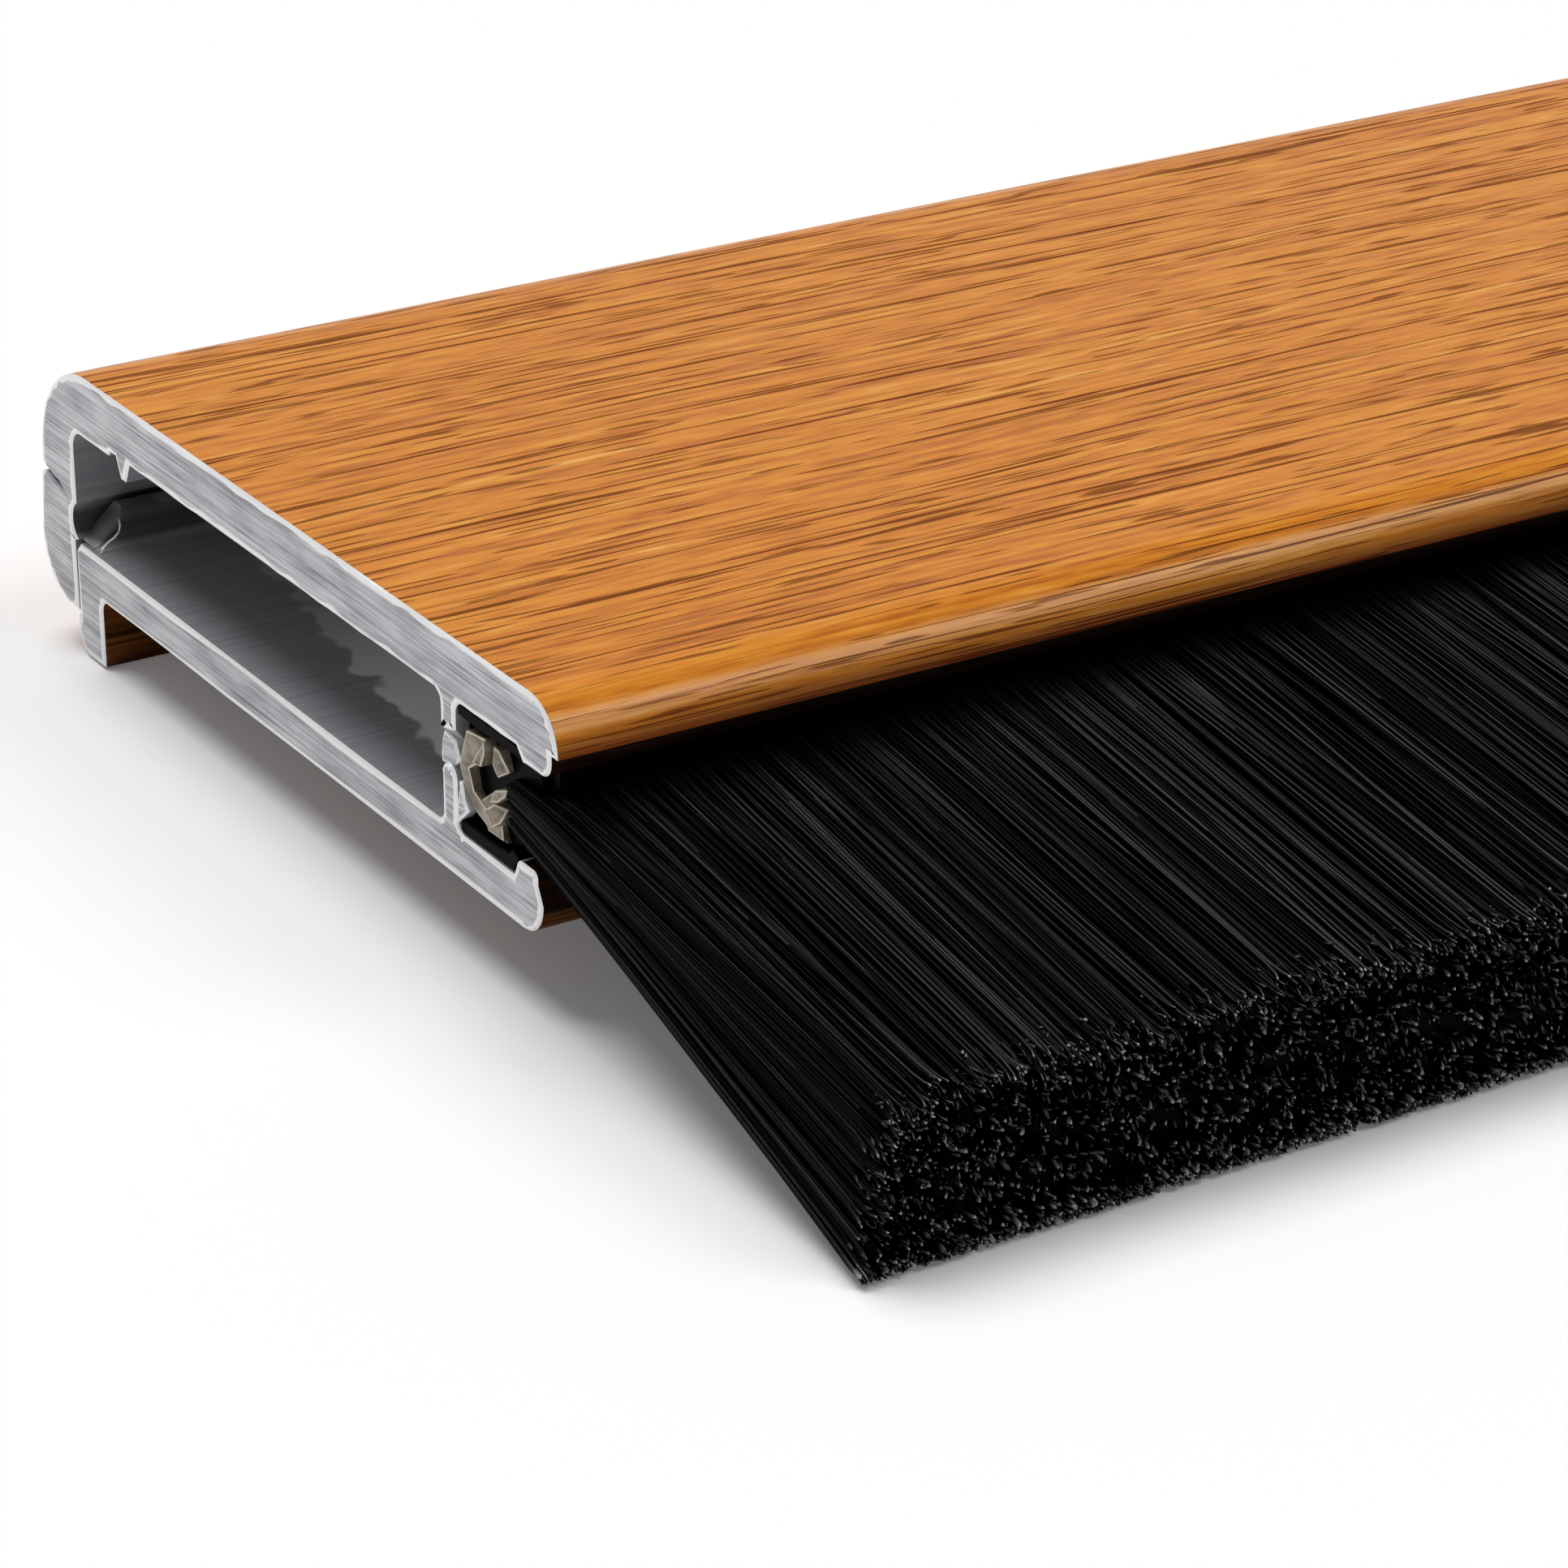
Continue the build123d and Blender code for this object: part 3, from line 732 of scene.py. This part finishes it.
# Black fibre packs the slot round the channel, up to each cut, and fills the torn end; its black also stands
# for painted shade in the slot.
shadePiles = {
    "upperPile": {"setback": 0.1, "corners": [
        (31.56, 8.64), (35.42, 8.64), (35.84, 8.24), (34.7, 8.22), (31.56, 8.22)]},
    "lowerPile": {"setback": 0.12, "corners": [
        (31.56, 4.26), (35.02, 4.26), (35.3, 4.78), (34.9, 5.0), (34.62, 4.68), (31.56, 4.68)]},
    "frontPile": {"setback": 0.75, "corners": [
        (34.66, 8.18), (36.9, 8.18), (36.9, 5.0), (35.5, 4.9), (34.66, 4.72)]},
    "tornPile": {"setback": 0.5, "reach": 0.3, "corners": [
        (31.56, 8.64), (35.4, 8.64), (36.2, 8.1), (36.2, 5.1), (34.9, 4.3), (31.56, 4.3)]},
}
for number, (name, shadePile) in enumerate(shadePiles.items()):
    stop = endLow + shadePile["setback"] + shadePile["reach"] if "reach" in shadePile else endHigh - shadePile["setback"]
    shadeFill = drawnBar(name, [(skin, shadePile["corners"])], (endLow + shadePile["setback"], stop), fibreEdge,
                      [nylon] * 3, seed=10 + number)
    settle(shadeFill, "black_nylon")
print("stage: channel and wire")

# The brush: filaments fan out of the channel, droop to the floor and end in a rough cut face.
brush = dict(
    middle=6.45, rootDepth=34.6, rootHalf=0.72, mouthDepth=37.6, mouthTop=8.05, mouthLow=4.95,
    neckBlend=0.3, neckFull=0.95, tipTop=5.35, tipLow=0.08, tipGap=0.03, bluntGap=0.6, sagSlope=0.25,
    sagCurve=0.001, sagBlend=0.2, cornerRun=2.4, cornerDrop=1.7, mouthRun=2.6, mouthDrop=1.1, splay=0.58,
    splayRun=4.0, splayCurve=0.6, tuck=0.25, lumpScale=1.6, lumpLayers=5.4, lumpLow=0.41, lumpHigh=0.57,
    evenLayer=0.2, evenShare=0.13, bundle=5.0, bundleTwist=0.03, broadScale=0.42, broadSway=1.6,
    fineScale=1.25, fineSway=0.7, ridgeScale=0.8, ridgeLift=1.5, calmRun=0.3, calmShare=0.15, curlRun=0.6,
    taperFrom=0.86, floorGap=0.02,
)


def strandTree(s):
    tree = bpy.data.node_groups.new("strandRows", "GeometryNodeTree")
    tree.interface.new_socket("Geometry", in_out="OUTPUT", socket_type="NodeSocketGeometry")
    wanted = {"Int": ("columns", "layers", "points", "sides", "seed"), "Material": ("material",),
              "Float": ("fromX", "toX", "fromLayer", "toLayer", "fromDepth", "startSpread", "radius", "clump",
                        "stray", "rough", "curl", "gather", "tipShare")}
    for kind, names in wanted.items():
        for name in names:
            tree.interface.new_socket(name, in_out="INPUT", socket_type=f"NodeSocket{kind}")
    given = addNode(tree, "NodeGroupInput").outputs
    values = {**s, **{name: given[name] for names in wanted.values() for name in names}}
    values.update(tipDepth=tipDepth, rear=rear, endLow=endLow, endHigh=endHigh,
                  rootHigh=s["middle"] + s["rootHalf"], rootLow=s["middle"] - s["rootHalf"])
    workOut(tree, values, [
        "total = columns * layers", ("thick", "*", "radius", mm), "blunt = radius * tipShare",
        ("reach", "*+", "blunt", -s["bluntGap"], tipDepth - s["tipGap"]),
    ])
    line = addNode(tree, "GeometryNodeCurvePrimitiveLine", {"End": (1, 0, 0)}).outputs[0]
    line = addNode(tree, "GeometryNodeResampleCurve", {"Curve": line, "Count": given["points"]}).outputs[0]
    copies = addNode(tree, "GeometryNodeDuplicateElements", {"Geometry": line, "Amount": values["total"]},
                     domain="SPLINE")
    values["number"] = copies.outputs["Duplicate Index"]
    values["share"] = addNode(tree, "GeometryNodeSplineParameter").outputs["Factor"]
    drawn = {"column": (0.1, 0.9), "layer": (0.05, 0.95), "end": (0.0, 0.25), "sway": (-0.5, 0.5),
             "lift": (-0.25, 0.25), "shade": (0.0, 1.0), "start": (0.0, 1.0), "turn": (0.0, math.tau)}
    for shift, (name, (low, high)) in enumerate(drawn.items(), 1):
        workOut(tree, values, [("shifted", "+", "seed", shift),
                               (name + "Chance", "chance", low, high, "number", "shifted")])
    workOut(tree, values, [
        # The points gather towards the tip, where a strand curls.
        "back = 1 - share", "back = POWER back gather", "share = 1 - back",
        # The strand's place in its row: x along the strip, w from the lowest layer to the highest.
        "u = number / layers", "u = FLOOR u", "u = u + columnChance", "u = u / columns",
        "width = toX - fromX", "x = u * width + fromX", "w = MODULO number layers", "w = w + layerChance",
        "w = w / layers", "height = toLayer - fromLayer", "w = w * height + fromLayer",
        # Where it ends: the cut face is lumpy, and evener along the floor.
        "lumpLayer = w * lumpLayers", "lumpSpot = point x lumpLayer", "lumps = noise lumpSpot lumpScale 2",
        "lumps = map lumps lumpLow lumpHigh 0 1", "lumps = lumps + endChance",
        "even = map w 0 evenLayer evenShare 1", "cut = rough * even", "ending = lumps * cut",
        "ending = reach - ending", "start = startChance * startSpread + fromDepth", "run = ending - start",
        "depth = share * run + start",
        # Upper and lower edge of the fan at that depth, drawn together in the channel's mouth.
        "out = depth - mouthDepth", "free = map depth mouthDepth tipDepth 0 1",
        "high = map depth mouthDepth tipDepth mouthTop tipTop", "fromNear = x - endLow",
        "fromFar = endHigh - x", "fromEnd = MINIMUM fromNear fromFar",
        "loose = map fromEnd 0 mouthRun mouthDrop 0", "held = 1 - free", "loose = loose * held",
        "high = high - loose", "fall = out * sagCurve + sagSlope", "fall = fall * out",
        "low = mouthLow - fall", "low = SMOOTH_MAX low tipLow sagBlend",
        "neck = map depth rootDepth mouthDepth 0 1", "neck = SMOOTH_MIN neck 1 neckBlend",
        "neck = neck / neckFull", "rise = high - rootHigh", "high = neck * rise + rootHigh",
        "drop = low - rootLow", "low = neck * drop + rootLow",
        # Both ends of the row: the top corner sinks and the low strands splay out.
        "bend = map fromEnd 0 cornerRun 1 0", "bend = bend * bend", "bend = 1 - bend", "bend = SQRT bend",
        "bend = 1 - bend", "bend = bend * cornerDrop", "bend = bend * free", "high = high - bend",
        "tall = high - low", "z = w * tall + low", "outward = POWER w splayCurve", "both = splay + tuck",
        "outward = outward * both", "outward = splay - outward", "atEnd = map fromEnd 0 splayRun 1 0",
        "outward = outward * atEnd", "outward = outward * free", "side = SIGN x", "x = side * outward + x",
        # Strands lean together in bundles, and a few stray across their neighbours.
        "bundleLayer = w * bundle", "bundleDepth = depth * bundleTwist",
        "spot = point x bundleLayer bundleDepth", "broad = noise spot broadScale 1",
        "fine = noise spot fineScale 1", "ridge = noise spot ridgeScale 2", "broad = broad - 0.5",
        "broad = broad * broadSway", "fine = fine - 0.5", "sway = fine * fineSway + broad",
        "swayChance = swayChance * stray", "sway = sway * clump + swayChance", "x = sway * free + x",
        "ridge = ridge - 0.5", "ridge = ridge * ridgeLift", "liftChance = liftChance * stray",
        "lift = ridge * clump + liftChance", "calm = map free 0 calmRun calmShare 1",
        "flat = map w 0 calmRun calmShare 1", "calm = calm * flat", "z = lift * calm + z",
        # The cut ends curl their own way, and nothing leaves the floor or the ends.
        "fromTip = ending - depth", "atTip = map fromTip 0 curlRun 1 0", "hook = atTip * atTip",
        "hook = hook * curl", "turnX = COSINE turnChance", "turnZ = SINE turnChance",
        "turnZ = turnZ * flat", "x = turnX * hook + x", "z = turnZ * hook + z",
        "ground = radius + floorGap", "z = MAXIMUM z ground", "edge = free * splay + endHigh",
        "edge = edge - radius", "x = MINIMUM x edge", "edge = edge * -1", "x = MAXIMUM x edge",
        "y = rear - depth", "place = point x y z", "taper = map atTip taperFrom 1 1 tipShare",
    ])
    place = addNode(tree, "ShaderNodeVectorMath", {0: values["place"], "Scale": mm}, operation="SCALE")
    marked = copies.outputs[0]
    for name, value in (("shade", "shadeChance"), ("atTip", "atTip"), ("taper", "taper")):
        marked = addNode(tree, "GeometryNodeStoreNamedAttribute",
                         {"Geometry": marked, "Name": name, "Value": values[value]},
                         data_type="FLOAT", domain="POINT").outputs[0]
    placed = addNode(tree, "GeometryNodeSetPosition",
                     {"Geometry": marked, "Position": place.outputs[0]}).outputs[0]
    taper = addNode(tree, "GeometryNodeInputNamedAttribute", {"Name": "taper"}, data_type="FLOAT").outputs[0]
    ring = addNode(tree, "GeometryNodeCurvePrimitiveCircle",
                   {"Resolution": given["sides"], "Radius": values["thick"]}).outputs[0]
    tube = addNode(tree, "GeometryNodeCurveToMesh", {"Curve": placed, "Profile Curve": ring, "Scale": taper,
                                                     "Fill Caps": True}).outputs[0]
    tube = addNode(tree, "GeometryNodeSetShadeSmooth", {"Geometry": tube}).outputs[0]
    tube = addNode(tree, "GeometryNodeRealizeInstances", {"Geometry": tube}).outputs[0]
    tube = addNode(tree, "GeometryNodeSetMaterial",
                   {"Geometry": tube, "Material": given["material"]}).outputs[0]
    addNode(tree, "NodeGroupOutput", {"Geometry": tube})
    return tree


def strands(name, tree, settings):
    holder = addObject(name + "Rows", bpy.data.meshes.new(name + "Rows"))
    rows = holder.modifiers.new("rows", "NODES")
    rows.node_group = tree
    for item in tree.interface.items_tree:
        if item.item_type == "SOCKET" and item.in_out == "INPUT":
            rows[item.identifier] = settings[item.name]
    view = bpy.context.evaluated_depsgraph_get()
    mesh = bpy.data.meshes.new_from_object(holder.evaluated_get(view))
    bpy.data.objects.remove(holder)
    mesh.name = name
    print("strands", name, len(mesh.polygons))
    return settle(addObject(name, mesh), "black_nylon", "bristle_pack")


# A plain dark body inside the fan, below its outer strands, so that no light shows through.
core = dict(
    under=0.35, tipBack=1.1, tipUnder=0.45, footBack=0.9, footLift=0.08, least=0.37,
    depths=(53.0, 50.0, 46.0, 42.0, 38.0), neckFront=34.6, neckBack=32.2, frontHalf=0.5, backHalf=0.9,
    setback=2.4,
)


def coreRuns(s, c):
    top = [(s.mouthDepth, s.mouthTop - c.under), (tipDepth - c.tipBack, s.tipTop - c.tipUnder)]
    face = [(tipDepth - c.footBack, s.tipLow + c.footLift)]
    under = []
    for depth in c.depths:
        out = depth - s.mouthDepth
        height = s.mouthLow - out * (s.sagSlope + out * s.sagCurve)
        under.append((depth, max(height + c.under, c.least)))
    neck = [(c.neckFront, s.middle - c.frontHalf), (c.neckBack, s.middle - c.backHalf),
            (c.neckBack, s.middle + c.backHalf), (c.neckFront, s.middle + c.frontHalf)]
    return [(skin, top + face + under + neck)]


coreBar = drawnBar("strandCore", coreRuns(SimpleNamespace(**brush), SimpleNamespace(**core)),
                   (endLow + core["setback"], endHigh - core["setback"]), fibreEdge, [nylon] * 3,
                   step=2.0, seed=11)
settle(coreBar, "black_nylon", "bristle_pack")

# Strands are fine and many near the photographed end, and thicker and fewer along the rest.
nearReach = 48.0
tipReach = 34.0
endReach = 2.8
strand = dict(
    radius=0.095, clump=0.65, stray=0.55, rough=0.7, curl=0.0, fromDepth=34.6, startSpread=0.5, gather=1.0,
    tipShare=1.0, material=nylon, fromLayer=0.0, toLayer=1.0, points=10, sides=3,
)
hooked = dict(gather=1.8, tipShare=0.45)  # for strands whose cut ends are seen close up
rowsOfStrands = {
    "nearTopStrands": dict(
        hooked, columns=330, layers=4, radius=0.068, fromX=endLow, toX=endLow + nearReach, fromLayer=0.86,
        curl=0.12, sides=5, points=13, seed=11),
    "nearEndStrands": dict(
        hooked, columns=14, layers=24, radius=0.062, fromX=endLow, toX=endLow + endReach, stray=0.7,
        curl=0.14, sides=5, points=14, seed=21),
    "nearTipStrands": dict(
        hooked, columns=210, layers=26, radius=0.085, fromX=endLow + 0.5, toX=endLow + tipReach, rough=1.3,
        fromDepth=54.2, startSpread=0.1, toLayer=0.97, curl=0.24, points=6, seed=31),
    "nearFloorStrands": dict(
        hooked, columns=320, layers=3, radius=0.075, rough=0.35, fromX=endLow + 0.5, toX=endLow + tipReach,
        fromDepth=53.6, toLayer=0.05, curl=0.2, points=6, seed=34),
    "nearUnderStrands": dict(
        columns=250, layers=2, radius=0.09, fromX=endLow, toX=endLow + nearReach, toLayer=0.06, stray=0.3,
        curl=0.1, points=9, seed=36),
    "farTopStrands": dict(
        columns=2150, layers=2, fromX=endLow + nearReach, toX=endHigh, fromLayer=0.9, radius=0.16, points=6,
        seed=41),
    "farTipStrands": dict(
        columns=1500, layers=9, fromX=endLow + tipReach, toX=endHigh, fromDepth=54.0, radius=0.28, curl=0.2,
        points=3, seed=51),
    "underStrands": dict(
        columns=1620, layers=1, fromX=endLow + nearReach, toX=endHigh, toLayer=0.05, radius=0.2, points=7,
        seed=61),
    "farEndStrands": dict(columns=8, layers=22, fromX=endHigh - endReach, toX=endHigh, points=8, seed=71),
}
rowTree = strandTree(brush)
for name, own in rowsOfStrands.items():
    strands(name, rowTree, {**strand, **own})
print("stage: filaments")

# Plain white floor that keeps the shadow, and soft light from above and behind.
floor = dict(colour="#f2f2f2", lift=0.1, size=14.0, drop=0.0001, roughness=0.9, mirror=0.1)
floorPaint, floorTree, floorShader, floorValues = newMaterial("whiteFloor", floor)
floorValues["camera"] = addNode(floorTree, "ShaderNodeLightPath").outputs["Is Camera Ray"]
workOut(floorTree, floorValues, ["glow = camera * lift"])
feed(floorTree, floorShader, {
    "Base Color": hexColour(floor["colour"]), "Roughness": floor["roughness"],
    "Specular IOR Level": floor["mirror"], "Emission Color": (1, 1, 1, 1),
    "Emission Strength": floorValues["glow"],
})
half = floor["size"] / 2
floorCorners = [(x, y, -floor["drop"])
                for x, y in ((-half, -half), (half, -half), (half, half), (-half, half))]
floorMesh = bpy.data.meshes.new("floor")
floorMesh.from_pydata(floorCorners, [], [(0, 1, 2, 3)])
floorMesh.materials.append(floorPaint)
addObject("floor", floorMesh)

# The sky seen by the camera is white, and metal and nylon mirror a greyer one.
sky = dict(seen=1.0, mirrored=0.55, level=0.18)
world = bpy.data.worlds.new("studio")
bpy.context.scene.world = world
world.use_nodes = True
skyTree = world.node_tree
skyRays = addNode(skyTree, "ShaderNodeLightPath").outputs
skyValues = {"camera": skyRays["Is Camera Ray"], "glossy": skyRays["Is Glossy Ray"],
             "through": skyRays["Is Transmission Ray"]}
workOut(skyTree, skyValues, [
    "mirrored = MAXIMUM glossy through",
    ("mirrored", "map", "mirrored", 0.0, 1.0, sky["level"], sky["mirrored"]),
    ("seen", "*", "camera", sky["seen"]), "strength = MAXIMUM seen mirrored",
])
feed(skyTree, skyTree.nodes["Background"], {"Color": (1, 1, 1, 1), "Strength": skyValues["strength"]})

# Level is the share of full white that a lamp gives a surface facing it.
lamps = {
    "overhead": {"from": (-0.07, 0.32, 0.945), "spread": 38.0, "level": 0.7},
    "softbox": {"from": (0.477, -0.496, 0.725), "spread": 28.0, "level": 0.24},
}
for name, lamp in lamps.items():
    light = bpy.data.lights.new(name, "SUN")
    light.angle = math.radians(lamp["spread"])
    light.energy = lamp["level"] * math.pi
    holder = addObject(name, light)
    holder.location = Vector(lamp["from"]) * 2
    holder.rotation_euler = (-Vector(lamp["from"])).to_track_quat("-Z", "Y").to_euler()

# The photograph's camera, found from its vanishing points: millimetres from the near end's rear foot.
photo = dict(
    lens=116.455, sensor=36.0, clip=0.01, place=(-66.79, -159.07, 71.955), azimuth=-31.712, elevation=24.711,
)
eye = bpy.data.cameras.new("photoCamera")
eye.lens = photo["lens"]
eye.sensor_width = photo["sensor"]
eye.clip_start = photo["clip"]
eyeHolder = addObject("photoCamera", eye)
along, across, height = photo["place"]
eyeHolder.location = ((endLow + along) * mm, (rear + across) * mm, height * mm)
eyeHolder.rotation_euler = Euler((math.radians(90 - photo["elevation"]), 0, math.radians(photo["azimuth"])))
bpy.context.scene.camera = eyeHolder
bpy.context.scene.view_settings.view_transform = "Standard"
print("stage: floor, light and camera")
